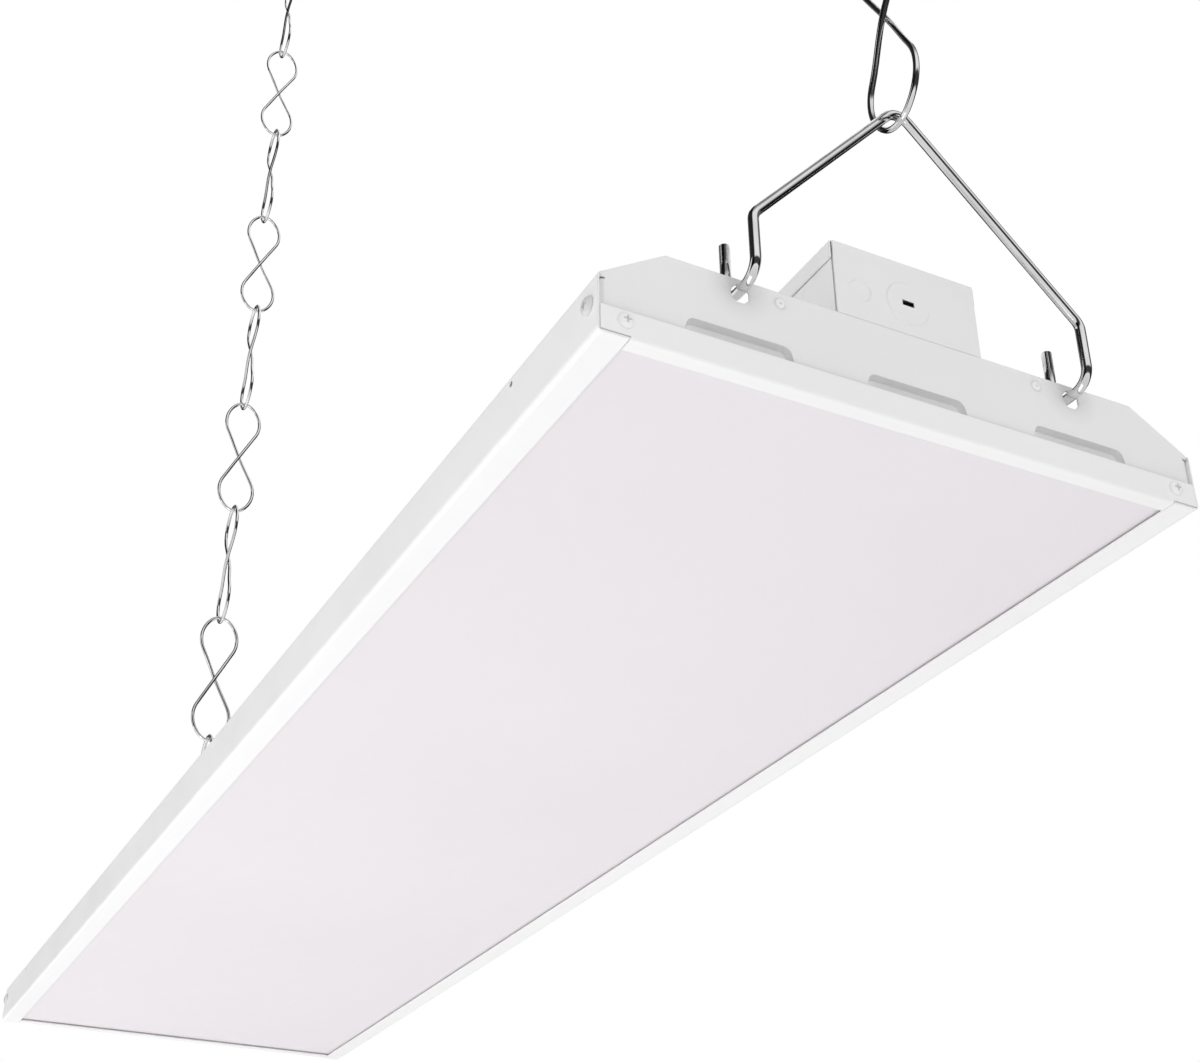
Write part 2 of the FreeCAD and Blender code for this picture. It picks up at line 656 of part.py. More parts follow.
def grommet():
    """Rubber bush that lines the lead hole."""
    x = GROMMET_PLACE
    top = CHANNEL_FLOOR + GROMMET_LIP
    body = rod(GROMMET_HOLE - HOLE_ROOM, (x, 0, TRAY_FLOOR), (x, 0, top))
    lip = rod(GROMMET_HOLE + 2 * GROMMET_LIP, (x, 0, CHANNEL_FLOOR), (x, 0, top))
    bore = rod(GROMMET_BORE, (x, 0, TRAY_FLOOR - SHEET), (x, 0, top + SHEET))
    return body.fuse(lip).cut(bore).removeSplitter()


def v_hook():
    """Sprung wire hanger: both ends turn in through the end plate's holes and up behind it."""
    front = HALF + HOOK_FRONT_REACH
    back = HALF - HOOK_BACK_REACH
    lean = math.atan2(HOOK_HOLE_OFFSET, HOOK_APEX_HEIGHT - HOOK_SHOULDER_HEIGHT)
    peak = HOOK_APEX_HEIGHT + HOOK_APEX_BEND * (1 / math.sin(lean) - 1)
    one_side = [V(back, HOOK_HOLE_OFFSET, HOOK_TIP_HEIGHT), V(back, HOOK_HOLE_OFFSET, HOOK_FOOT_HEIGHT),
                V(front, HOOK_HOLE_OFFSET, HOOK_FOOT_HEIGHT),
                V(front, HOOK_HOLE_OFFSET, HOOK_SHOULDER_HEIGHT)]
    other_side = [V(p.x, -p.y, p.z) for p in reversed(one_side)]
    corners = one_side + [V(CHAIN_PLACE, 0, peak)] + other_side
    bends = [HOOK_FOOT_BEND, HOOK_FOOT_BEND, HOOK_SHOULDER_BEND]
    route = bent_route(corners, bends + [HOOK_APEX_BEND] + bends[::-1], HOOK_STEP)
    return wire_form(route, V(0, 1, 0), HOOK_WIRE, ROUND_SIDES, False)


def link_quarter():
    """Corners of a link's lower right quarter, where tangents to its two arcs meet."""
    shift = LINK_FLANK_RADIUS - LINK_WIDTH / 2
    apart = LINK_FLANK_RADIUS - LINK_END_RADIUS
    lean = math.asin(shift / apart)
    end = V(0, 0, LINK_END_RADIUS - LINK_LENGTH / 2)
    flank = V(-shift, 0, end.z + apart * math.cos(lean))
    to_crossing = math.atan2(-flank.z, shift) - math.acos(LINK_FLANK_RADIUS / flank.Length)
    touches = [(end, LINK_END_RADIUS, -math.pi / 2),
               (end, LINK_END_RADIUS, math.radians(LINK_END_TURN) - math.pi / 2),
               (flank, LINK_FLANK_RADIUS, -math.radians(LINK_FLANK_TURN)),
               (flank, LINK_FLANK_RADIUS, 0.0),
               (flank, LINK_FLANK_RADIUS, to_crossing)]
    lines = []
    for centre, radius, angle in touches:
        normal = V(math.cos(angle), 0, math.sin(angle))
        lines.append((normal, normal.dot(centre) + radius))
    corners = []
    for (n, d), (m, e) in zip(lines, lines[1:]):
        turn = n.x * m.z - n.z * m.x
        corners.append(V((d * m.z - e * n.z) / turn, 0, (n.x * e - m.x * d) / turn))
    return corners


def chain_link():
    """One figure-eight link in the XZ plane, its wire passing before itself at the waist."""
    right = link_quarter()
    lower = [V(-p.x, 0, p.z) for p in reversed(right)] + right
    upper = [V(p.x, 0, -p.z) for p in lower]
    step = (LINK_WIRE + LINK_GAP) / 2
    route = lower + [V(0, step, 0)] + upper + [V(0, -step, 0)]
    return wire_form(route, V(0, 1, 0), LINK_WIRE, ROUND_SIDES, True)


def chain(link):
    """The links of the front chain from the hook upwards, each turned a quarter from the last."""
    links = []
    for i in range(LINKS):
        piece = link.copy()
        piece.rotate(V(0, 0, 0), V(0, 0, 1), 90 * (i % 2))
        piece.translate(V(CHAIN_PLACE, 0, FIRST_LINK_LOW + LINK_LENGTH / 2 + LINK_PITCH * i))
        links.append(piece)
    return links


def main():
    os.makedirs("parts", exist_ok=True)
    save("ceiling_pan", ceiling_pan())
    save("left_side_rail", side_rail(-1))
    save("right_side_rail", side_rail(1))
    save("lens", lens())
    save("reflector_tray", reflector_tray())
    save("left_light_board", light_board(-1))
    save("right_light_board", light_board(1))
    save("light_emitters", emitters())
    save("wireway_channel", wireway_channel())
    save("wireway_cover", wireway_cover())
    save("led_driver", led_driver())
    save("terminal_block", terminal_block())
    save("supply_wires", supply_wires())
    save("lamp_leads", lamp_leads())
    save("lead_grommet", grommet())
    save("driver_screws", driver_screws())
    save("cover_screws", cover_screws())
    save("trim_screws", trim_screws())
    save("side_screws", side_screws())
    save("rivets", rivets())
    at_ends = {"end_plate": end_plate(), "end_trim": end_trim(), "wireway_closure": wireway_closure(),
               "v_hook": v_hook()}
    for name, piece in at_ends.items():
        save("front_" + name, piece)
        save("rear_" + name, rear(piece))
    for number, piece in enumerate(chain(chain_link()), start=1):
        save("front_chain_link_%d" % number, piece)
        save("rear_chain_link_%d" % number, rear(piece))


main()
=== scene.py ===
import json
import math

import bmesh
import bpy
from mathutils import Matrix, Vector

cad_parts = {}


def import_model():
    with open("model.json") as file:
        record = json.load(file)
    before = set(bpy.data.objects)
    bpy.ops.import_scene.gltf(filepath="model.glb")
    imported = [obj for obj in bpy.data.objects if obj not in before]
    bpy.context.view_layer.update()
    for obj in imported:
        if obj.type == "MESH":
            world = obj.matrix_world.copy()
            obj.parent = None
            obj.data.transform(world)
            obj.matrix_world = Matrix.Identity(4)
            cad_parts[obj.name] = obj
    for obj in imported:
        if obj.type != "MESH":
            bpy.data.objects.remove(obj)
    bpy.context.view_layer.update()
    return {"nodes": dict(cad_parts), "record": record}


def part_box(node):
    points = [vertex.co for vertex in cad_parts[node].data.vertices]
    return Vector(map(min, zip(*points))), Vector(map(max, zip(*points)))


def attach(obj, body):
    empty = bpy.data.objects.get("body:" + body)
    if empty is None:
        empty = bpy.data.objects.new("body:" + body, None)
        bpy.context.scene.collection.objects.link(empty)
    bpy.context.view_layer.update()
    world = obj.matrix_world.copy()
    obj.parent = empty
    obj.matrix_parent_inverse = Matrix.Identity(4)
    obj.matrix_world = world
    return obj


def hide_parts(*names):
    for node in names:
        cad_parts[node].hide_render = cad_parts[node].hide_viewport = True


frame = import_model()

MM = 0.001

# Height of the light's underside, and how far its end plates' outer faces stand from the middle
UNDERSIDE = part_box("left_side_rail")[0][2]
END_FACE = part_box("front_end_plate")[1][0]

# Chain links, along the middle of the wire
LINK_WIRE = 3.2 * MM
LINK_LENGTH = 133.0 * MM
LINK_WIDTH = 36.0 * MM
LINK_END_RADIUS = 13.0 * MM
LINK_FLANK_RADIUS = 28.0 * MM
LINK_CROSSING = 1.75 * MM       # how far each wire stands out at the waist
LINKS = 9
LINK_SIDES = 20
CROSSING_STEPS = 12             # runs from one flank to the other
ARC_STEP = math.radians(4)

# V-hooks
HOOK_WIRE = 4.8 * MM
HOOK_SHOULDER_RISE = 31.3 * MM  # from the foot of the bend to the shoulder
HOOK_SHOULDER_BEND = 9.0 * MM
HOOK_APEX_BEND = 8.0 * MM
HOOK_TIP_RISE = 30.3 * MM       # of the ends behind the end plate
HOOK_FOOT_TURN = 9.0 * MM
HOOK_LIFT = 0.35 * MM           # room over the round link end
HOOK_SIDES = 24

# Lens: a panel inside a rim that stands on the lips
LENS_RIM_SIDE = 3.5 * MM
LENS_RIM_END = 2.2 * MM
LENS_LIFT = 1.2 * MM            # panel's underside above the rim's foot
LENS_DRAFT = 0.4 * MM           # lean of the step from rim to panel

# Screws: head, length under it and the way out
SCREWS = {
    "trim_screws": (7.3 * MM, 9.0 * MM, "X"),
    "side_screws": (8.6 * MM, 7.0 * MM, "Y"),
    "cover_screws": (6.4 * MM, 6.0 * MM, "Y"),
    "driver_screws": (7.0 * MM, 6.0 * MM, "Z"),
}
SCREW_SHANK = 1.75 * MM         # radius
SCREW_TAPER = 1.5 * MM          # length of the tapered end
SCREW_TIP = 0.5                 # its flat tip's share of the shank
SCREW_HEAD_RISE = 0.26          # height of a head per width
MERGE = 0.004 * MM              # corners of a cut head this near are one
SAME_CORNER = 0.001 * MM        # the same for corners that faces share
TURNED_SIDES = 32

# Pan head: shares of its height and of its radius, from the seat to the middle of the top
PAN_HEAD = [(0, 0.97), (0.08, 1), (0.3, 1), (0.58, 0.93), (0.8, 0.79), (0.94, 0.56), (1, 0.3), (1, 0)]

# Cross recess at its mouth and its floor: share of the head's height, then reach and half width
# of an arm as shares of the head's width
CROSS_LEVELS = ((1.3, 0.30, 0.062), (0.25, 0.16, 0.04))

# Hollow rivets in mm: height above the sheet and radius, once round the wall
RIVET_SECTION = [(0.45, 0.5), (0.74, 0.8), (0.8, 1.3), (0.62, 1.95), (0.3, 2.4), (0.0, 2.5),
                 (0.0, 1.6), (-1.6, 1.6), (-1.6, 2.05), (-2.35, 2.05), (-2.35, 0.5)]

# Wireway closure: half widths, and heights above the light's underside
SHEET = 0.8 * MM
CLOSURE_OUT = 37.5 * MM
CLOSURE_LOW = 47.6 * MM
CLOSURE_TOP = 86.3 * MM
STEP_TOP = 49.2 * MM
EAR_OUT = 76.0 * MM
EAR_LOW = 32.0 * MM
EAR_TOP = 47.0 * MM
EAR_GAP = 0.01 * MM             # between the closure's face and its ears

# Knockouts: radius, place across and up, and push outward; the large one has a pry slot
KNOCKOUTS = [(11.1 * MM, 0.0, 64.0 * MM, 0.8 * MM),
             (5.5 * MM, -24.5 * MM, 63.5 * MM, -0.8 * MM)]

# The pressed step round a knockout: how far outside its radius, and share of its push
KNOCKOUT_STEP = [(0.4 * MM, 0), (0.25 * MM, 0.12), (-0.25 * MM, 0.88), (-0.4 * MM, 1)]
KNOCKOUT_SIDES = 56
KNOCKOUT_SLOT = (3.15 * MM, 1.5 * MM)   # half length and half width

# Finish: the part of a noise's range in use, enamel's soft edges and its thin clear top
NOISE_LOW = 0.3
NOISE_HIGH = 0.7
EDGE_SOFTNESS = 0.4 * MM
EDGE_SAMPLES = 4
COAT_SHARE = 0.04
COAT_ROUGHNESS = 0.3

# Painted shade in the end plates' pockets: how near a wall it starts, and openness and grey
POCKET_SHADE_REACH = 14.0 * MM
POCKET_SHADE_SAMPLES = 8
POCKET_SHADE_GREYS = [(0.30, 1.0), (0.62, 0.97), (0.70, 0.80), (0.86, 0.78), (0.97, 1.0)]

# Stage
FLOOR_DROP = 1.15               # below the light's underside
FLOOR_SIZE = 14.0
FLOOR_FADE = (2.2, 5.5, 0.5, 1.0)   # from and to this distance, and share of white there

# Lamps: place from the middle of the underside, width and height, and power
LAMPS = {
    "below": ((-0.05, -0.3, -1.05), (2.2, 1.6), 10.5),
    "left": ((-0.8, -2.4, 0.5), (2.4, 2.0), 15.5),
    "front": ((2.6, 0.2, 0.6), (1.6, 1.8), 11),
    "above": ((-0.6, 0.8, 2.6), (2.4, 2.4), 18),
}
UNMIRRORED_LAMP = "front"       # it would wash out the dark flags

# Dark flags round the white studio, seen only in reflections: place round or up, and grey
FLAG_TURN = math.radians(-27.3)
FLAGS_ROUND = [(0.0, 0.25), (0.13, 0.2), (0.16, 0.02), (0.43, 0.02), (0.47, 1.0),
               (0.70, 1.0), (0.75, 0.12), (0.90, 0.12), (1.0, 0.25)]
FLAGS_UP = [(0.40, 0.8), (0.44, 0.05), (0.66, 0.05), (0.72, 1.0), (0.90, 1.0), (0.96, 0.3)]
WORLD_GLOW = 0.62               # strength of the studio as a light

# Camera: its place and axes, its sensor and lens in mm, its shift and how far it sees
CAMERA_PLACE = Vector((1.05945, -0.4142, -1.7457))
CAMERA_RIGHT = Vector((0.4565, 0.8897, -0.0049))
CAMERA_UP = Vector((0.4494, -0.2258, 0.8643))
CAMERA_BACK = Vector((0.7678, -0.3968, -0.5030))
CAMERA_SENSOR = 36.0
CAMERA_LENS = 54.54
CAMERA_SHIFT = (0.00415, -0.00688)
CAMERA_REACH = 100


# ---------------------------------------------------------------- materials

def new_material(name):
    """A material with its nodes, links and main shader."""
    material = bpy.data.materials.new(name)
    material.use_nodes = True
    nodes = material.node_tree.nodes
    shader = nodes["Principled BSDF"]
    return material, nodes, material.node_tree.links, shader


def position_noise(nodes, links, scale, detail=4.0):
    """Noise fixed to the object's own coordinates."""
    place = nodes.new("ShaderNodeTexCoord")
    noise = nodes.new("ShaderNodeTexNoise")
    noise.inputs["Scale"].default_value = scale
    noise.inputs["Detail"].default_value = detail
    links.new(place.outputs["Object"], noise.inputs["Vector"])
    return noise


def tint(nodes, links, shader, noise, low, high):
    """Colour that drifts between two near shades."""
    ramp = nodes.new("ShaderNodeValToRGB")
    ends = ramp.color_ramp.elements
    ends[0].position = NOISE_LOW
    ends[1].position = NOISE_HIGH
    ends[0].color = (*low, 1)
    ends[1].color = (*high, 1)
    links.new(noise.outputs["Fac"], ramp.inputs["Fac"])
    links.new(ramp.outputs["Color"], shader.inputs["Base Color"])


def grey_stops(ramp, stops):
    """Give a ramp these places and greys."""
    elements = ramp.color_ramp.elements
    while len(elements) < len(stops):
        elements.new(0.5)
    for element, (place, grey) in zip(elements, stops):
        element.position = place
        element.color = (grey, grey, grey, 1)


def vary_roughness(nodes, links, shader, noise, low, high):
    """Roughness that drifts between two values."""
    span = nodes.new("ShaderNodeMapRange")
    span.inputs["From Min"].default_value = NOISE_LOW
    span.inputs["From Max"].default_value = NOISE_HIGH
    span.inputs["To Min"].default_value = low
    span.inputs["To Max"].default_value = high
    links.new(noise.outputs["Fac"], span.inputs["Value"])
    links.new(span.outputs["Result"], shader.inputs["Roughness"])


def add_bump(nodes, links, shader, noise, strength, distance, soften=0.0):
    """Fine relief, on edges that catch light as if rounded by the radius soften."""
    bump = nodes.new("ShaderNodeBump")
    bump.inputs["Strength"].default_value = strength
    bump.inputs["Distance"].default_value = distance
    links.new(noise.outputs["Fac"], bump.inputs["Height"])
    if soften > 0:
        bevel = nodes.new("ShaderNodeBevel")
        bevel.samples = EDGE_SAMPLES
        bevel.inputs["Radius"].default_value = soften
        links.new(bevel.outputs["Normal"], bump.inputs["Normal"])
    links.new(bump.outputs["Normal"], shader.inputs["Normal"])


def enamel(name, low, high, rough, painted_pocket_shade=False):
    """Baked white enamel on sheet steel: faint orange peel and uneven gloss, and, if asked, painted
    shade in pressed pockets.
    """
    material, nodes, links, shader = new_material(name)
    tint(nodes, links, shader, position_noise(nodes, links, 9.0), low, high)
    gloss = position_noise(nodes, links, 40.0)
    vary_roughness(nodes, links, shader, gloss, rough - 0.05, rough + 0.06)
    peel = position_noise(nodes, links, 350.0, detail=2.0)
    add_bump(nodes, links, shader, peel, 0.04, 0.2 * MM, EDGE_SOFTNESS)
    shader.inputs["Coat Weight"].default_value = COAT_SHARE
    shader.inputs["Coat Roughness"].default_value = COAT_ROUGHNESS
    # painted shade: the enamel greys where the pockets' walls stand near
    if painted_pocket_shade:
        paint_pocket_shade(nodes, links, shader)
    return material


def paint_pocket_shade(nodes, links, shader):
    """Painted shade in the pressed pockets: the enamel's colour is darkened where ambient occlusion
    finds walls near.
    """
    reach = nodes.new("ShaderNodeAmbientOcclusion")
    reach.samples = POCKET_SHADE_SAMPLES
    reach.inputs["Distance"].default_value = POCKET_SHADE_REACH
    shade_ramp = nodes.new("ShaderNodeValToRGB")
    grey_stops(shade_ramp, POCKET_SHADE_GREYS)
    both = nodes.new("ShaderNodeVectorMath")
    both.operation = "MULTIPLY"
    paint = shader.inputs["Base Color"].links[0].from_socket
    links.new(reach.outputs["AO"], shade_ramp.inputs["Fac"])
    links.new(paint, both.inputs[0])
    links.new(shade_ramp.outputs["Color"], both.inputs[1])
    links.new(both.outputs["Vector"], shader.inputs["Base Color"])


def frosted():
    """Opal acrylic with a faint lilac tone and a fine matt grain."""
    material, nodes, links, shader = new_material("frosted_lens")
    cloud = position_noise(nodes, links, 3.0, detail=2.0)
    tint(nodes, links, shader, cloud, (0.84, 0.80, 0.83), (0.865, 0.825, 0.855))
    vary_roughness(nodes, links, shader, position_noise(nodes, links, 60.0), 0.42, 0.55)
    grain = position_noise(nodes, links, 1600.0, detail=2.0)
    add_bump(nodes, links, shader, grain, 0.12, 0.3 * MM)
    shader.inputs["Subsurface Weight"].default_value = 0.15
    shader.inputs["Subsurface Radius"].default_value = (4 * MM, 4 * MM, 4 * MM)
    return material


def plated_wire(name, low, high, rough):
    """Bright zinc on drawn wire: fine streaks and cloudy patches."""
    material, nodes, links, shader = new_material(name)
    shader.inputs["Metallic"].default_value = 1.0
    tint(nodes, links, shader, position_noise(nodes, links, 60.0, detail=6.0), low, high)
    cloud = position_noise(nodes, links, 160.0, detail=6.0)
    vary_roughness(nodes, links, shader, cloud, rough - 0.04, rough + 0.05)
    streaks = position_noise(nodes, links, 700.0, detail=5.0)
    add_bump(nodes, links, shader, streaks, 0.05, 0.2 * MM)
    return material


def plain_finish(name, low, high, rough, grain=300.0):
    """Moulded plastic, rubber or thin paint: a fine grain and uneven gloss."""
    material, nodes, links, shader = new_material(name)
    tint(nodes, links, shader, position_noise(nodes, links, 40.0), low, high)
    gloss = position_noise(nodes, links, 90.0)
    vary_roughness(nodes, links, shader, gloss, rough - 0.06, rough + 0.06)
    add_bump(nodes, links, shader, position_noise(nodes, links, grain, detail=3.0), 0.1, 0.3 * MM)
    return material


ENAMEL = enamel("white_enamel", (0.88, 0.88, 0.88), (0.91, 0.91, 0.91), 0.44)
# end plates' enamel, with painted shade in its pockets
ENAMEL_PLATE_SHADED = enamel("plate_enamel_painted_shade", (0.89, 0.89, 0.89), (0.92, 0.92, 0.92), 0.44, painted_pocket_shade=True)
# a lighter copy of the same white enamel: painted light for the parts that stand in stronger light
ENAMEL_PAINTED_LIGHT = enamel("rail_enamel_painted_light", (0.945, 0.945, 0.945), (0.965, 0.965, 0.965), 0.44)
ENAMEL_INSIDE = enamel("tray_enamel", (0.88, 0.88, 0.88), (0.91, 0.91, 0.91), 0.5)
LENS = frosted()
ZINC = plated_wire("zinc_wire", (0.62, 0.62, 0.63), (0.76, 0.76, 0.77), 0.08)
FASTENER = plated_wire("plated_fastener", (0.60, 0.60, 0.60), (0.80, 0.80, 0.80), 0.26)
PAINTED = plain_finish("painted_fastener", (0.66, 0.66, 0.66), (0.74, 0.74, 0.74), 0.35)
BOARD = plain_finish("light_board", (0.80, 0.80, 0.78), (0.86, 0.86, 0.84), 0.45)
EMITTER = plain_finish("emitter", (0.85, 0.70, 0.25), (0.92, 0.80, 0.35), 0.3)
DRIVER = plain_finish("driver_case", (0.74, 0.74, 0.74), (0.80, 0.80, 0.80), 0.4, 500.0)
NYLON = plain_finish("terminal_plastic", (0.78, 0.77, 0.72), (0.84, 0.83, 0.78), 0.42)
INSULATION = plain_finish("wire_insulation", (0.03, 0.03, 0.03), (0.06, 0.06, 0.06), 0.4)
RUBBER = plain_finish("black_rubber", (0.02, 0.02, 0.02), (0.04, 0.04, 0.04), 0.6, 600.0)

# the trim screws take the lighter, painted-light copy of the enamel
SCREW_PAINT = {"trim_screws": ENAMEL_PAINTED_LIGHT, "side_screws": PAINTED}


def dress(node, material):
    """Give a frame node its finish."""
    slots = frame["nodes"][node].material_slots
    for slot in slots:
        slot.material = material
    if not slots:
        frame["nodes"][node].data.materials.append(material)


def dress_light():
    """The finish of every node that isn't wire."""
    coats = {
        ENAMEL: ["front_wireway_closure", "rear_wireway_closure"],
        ENAMEL_PLATE_SHADED: ["front_end_plate", "rear_end_plate"],
        # the lighter copy of the white enamel, as painted light
        ENAMEL_PAINTED_LIGHT: ["left_side_rail", "right_side_rail", "front_end_trim", "rear_end_trim",
                        "rivets", "trim_screws", "wireway_channel", "wireway_cover"],
        ENAMEL_INSIDE: ["reflector_tray", "ceiling_pan"],
        LENS: ["lens"],
        FASTENER: ["cover_screws", "driver_screws"],
        PAINTED: ["side_screws"],
        BOARD: ["left_light_board", "right_light_board"],
        EMITTER: ["light_emitters"],
        DRIVER: ["led_driver"],
        NYLON: ["terminal_block"],
        INSULATION: ["supply_wires", "lamp_leads"],
        RUBBER: ["lead_grommet"],
    }
    for material, nodes in coats.items():
        for node in nodes:
            dress(node, material)


# ---------------------------------------------------------------- making and placing pieces

def placed(bm, name, material):
    """The bmesh as an object in the scene."""
    mesh = bpy.data.meshes.new(name)
    bm.to_mesh(mesh)
    bm.free()
    mesh.materials.append(material)
    piece = bpy.data.objects.new(name, mesh)
    bpy.context.scene.collection.objects.link(piece)
    return piece


def finished(bm, name, material, smooth=True):
    """A closed form as an object; its faces of four corners are shaded smooth."""
    bmesh.ops.recalc_face_normals(bm, faces=bm.faces)
    piece = placed(bm, name, material)
    for face in piece.data.polygons:
        face.use_smooth = smooth and len(face.vertices) == 4
    return piece


def join_rings(bm, first, second):
    """Faces between two rings of equally many corners."""
    for i in range(len(first)):
        j = (i + 1) % len(first)
        bm.faces.new((first[i], first[j], second[j], second[i]))


def facing(place, way):
    """Moves a form made about +Z to a place, facing that way."""
    return Matrix.Translation(place) @ way.to_track_quat("Z", "X").to_matrix().to_4x4()


def middle_of(node):
    """Middle of a node's box."""
    low, high = (Vector(corner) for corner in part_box(node))
    return (low + high) / 2


def body_with(node):
    """The body that carries a node."""
    for body, nodes in frame["record"]["behaviour"]["bodies"].items():
        if node in nodes:
            return body
    return None


def stand_for(piece, node):
    """Put a piece in a node's place."""
    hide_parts(node)
    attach(piece, body_with(node))


# ---------------------------------------------------------------- screws and rivets

def solid_boxes(node):
    """Lowest and highest corners of each separate solid in a node."""
    bm = bmesh.new()
    bm.from_mesh(frame["nodes"][node].data)
    bmesh.ops.remove_doubles(bm, verts=bm.verts, dist=SAME_CORNER)
    left = set(bm.verts)
    boxes = []
    while left:
        seeds = [left.pop()]
        places = []
        while seeds:
            vertex = seeds.pop()
            places.append(vertex.co.copy())
            for edge in vertex.link_edges:
                other = edge.other_vert(vertex)
                if other in left:
                    left.discard(other)
                    seeds.append(other)
        boxes.append((Vector([min(p[i] for p in places) for i in range(3)]),
                      Vector([max(p[i] for p in places) for i in range(3)])))
    bm.free()
    return sorted(boxes, key=lambda b: tuple(round(value, 5) for value in b[0]))


def turned(bm, section, sides, closed=False):
    """Revolve a list of (height, radius) about Z; an open section ends on the axis."""
    rings = []
    for height, radius in section:
        if radius == 0:
            rings.append([bm.verts.new((0, 0, height))] * sides)
            continue
        angles = [2 * math.pi * i / sides for i in range(sides)]
        rings.append([bm.verts.new((radius * math.cos(a), radius * math.sin(a), height))
                      for a in angles])
    pairs = list(zip(rings, rings[1:]))
    if closed:
        pairs.append((rings[-1], rings[0]))
    for first, second in pairs:
        for i in range(sides):
            j = (i + 1) % sides
            corners = []
            for vertex in (first[i], first[j], second[j], second[i]):
                if vertex not in corners:
                    corners.append(vertex)
            bm.faces.new(corners)


def cross_cutter(head, height):
    """A tapered cross for the drive recess."""
    bm = bmesh.new()
    rings = []
    for rise, arm_reach, arm_half in CROSS_LEVELS:
        reach = arm_reach * head
        half = arm_half * head
        outline = []
        for turn in range(4):
            spin = Matrix.Rotation(turn * math.pi / 2, 2)
            outline += [spin @ Vector(p) for p in ((half, half), (half, reach), (-half, reach))]
        rings.append([bm.verts.new((p.x, p.y, height * rise)) for p in outline])
    join_rings(bm, rings[0], rings[1])
    bm.faces.new(rings[0])
    bm.faces.new(rings[1][::-1])
    return finished(bm, "cross_cutter", FASTENER, False)


def screw_mesh(head, length):
    """Pan head with a cross recess, its underside at zero and its shank below."""
    height = SCREW_HEAD_RISE * head
    radius = head / 2
    shank = [(-length, 0), (-length, SCREW_TIP * SCREW_SHANK), (-length + SCREW_TAPER, SCREW_SHANK),
             (0, SCREW_SHANK)]
    bm = bmesh.new()
    turned(bm, shank + [(rise * height, share * radius) for rise, share in PAN_HEAD], TURNED_SIDES)
    blank = finished(bm, "screw_blank", FASTENER)
    cutter = cross_cutter(head, height)
    cut = blank.modifiers.new("recess", "BOOLEAN")
    cut.operation = "DIFFERENCE"
    cut.solver = "EXACT"
    cut.object = cutter
    bpy.context.view_layer.update()
    evaluated = blank.evaluated_get(bpy.context.evaluated_depsgraph_get())
    mesh = bpy.data.meshes.new_from_object(evaluated)
    for piece in (blank, cutter):
        bpy.data.objects.remove(piece)
    return mesh


def screws():
    """Cross-recess screws in the places of the frame's screws."""
    for node, (head, length, axis) in SCREWS.items():
        mesh = screw_mesh(head, length)
        number = "XYZ".index(axis)
        bm = bmesh.new()
        for low, high in solid_boxes(node):
            middle = (low + high) / 2
            sign = -1 if axis != "Z" and middle[number] < 0 else 1
            way = Vector([sign if i == number else 0 for i in range(3)])
            place = middle.copy()
            place[number] = (high if sign > 0 else low)[number] - sign * SCREW_HEAD_RISE * head
            before = len(bm.verts)
            bm.from_mesh(mesh)
            bm.verts.ensure_lookup_table()
            bmesh.ops.transform(bm, matrix=facing(place, way), verts=bm.verts[before:])
        bmesh.ops.remove_doubles(bm, verts=bm.verts, dist=MERGE)
        bmesh.ops.dissolve_degenerate(bm, edges=bm.edges, dist=MERGE)
        piece = finished(bm, node + "_detailed", SCREW_PAINT.get(node, FASTENER))
        stand_for(piece, node)


def rivets():
    """Hollow rivets with round heads on the end plates."""
    section = [(height * MM, radius * MM) for height, radius in RIVET_SECTION]
    bm = bmesh.new()
    for low, high in solid_boxes("rivets"):
        middle = (low + high) / 2
        sign = 1 if middle.x > 0 else -1
        place = Vector((sign * END_FACE, middle.y, middle.z))
        before = len(bm.verts)
        turned(bm, section, TURNED_SIDES, closed=True)
        bm.verts.ensure_lookup_table()
        matrix = facing(place, Vector((sign, 0, 0)))
        bmesh.ops.transform(bm, matrix=matrix, verts=bm.verts[before:])
    stand_for(finished(bm, "rivets_detailed", ENAMEL_PAINTED_LIGHT), "rivets")


# ---------------------------------------------------------------- lens and wireway closures

def lens_panel():
    """Opal panel raised inside a narrow rim."""
    low, high = (Vector(corner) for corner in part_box("lens"))
    bm = bmesh.new()

    def ring(inset_x, inset_y, z):
        x0, x1 = low.x + inset_x, high.x - inset_x
        y0, y1 = low.y + inset_y, high.y - inset_y
        return [bm.verts.new((x, y, z)) for x, y in ((x0, y0), (x1, y0), (x1, y1), (x0, y1))]

    rings = [ring(0, 0, high.z), ring(0, 0, low.z), ring(LENS_RIM_END, LENS_RIM_SIDE, low.z),
             ring(LENS_RIM_END + LENS_DRAFT, LENS_RIM_SIDE + LENS_DRAFT, low.z + LENS_LIFT)]
    for first, second in zip(rings, rings[1:]):
        join_rings(bm, first, second)
    bm.faces.new(rings[0])
    bm.faces.new(rings[-1])
    stand_for(finished(bm, "lens_panel", LENS, False), "lens")


def circle(radius, y, z):
    """Points round a knockout."""
    angles = [2 * math.pi * i / KNOCKOUT_SIDES for i in range(KNOCKOUT_SIDES)]
    return [(y + radius * math.cos(a), z + radius * math.sin(a)) for a in angles]


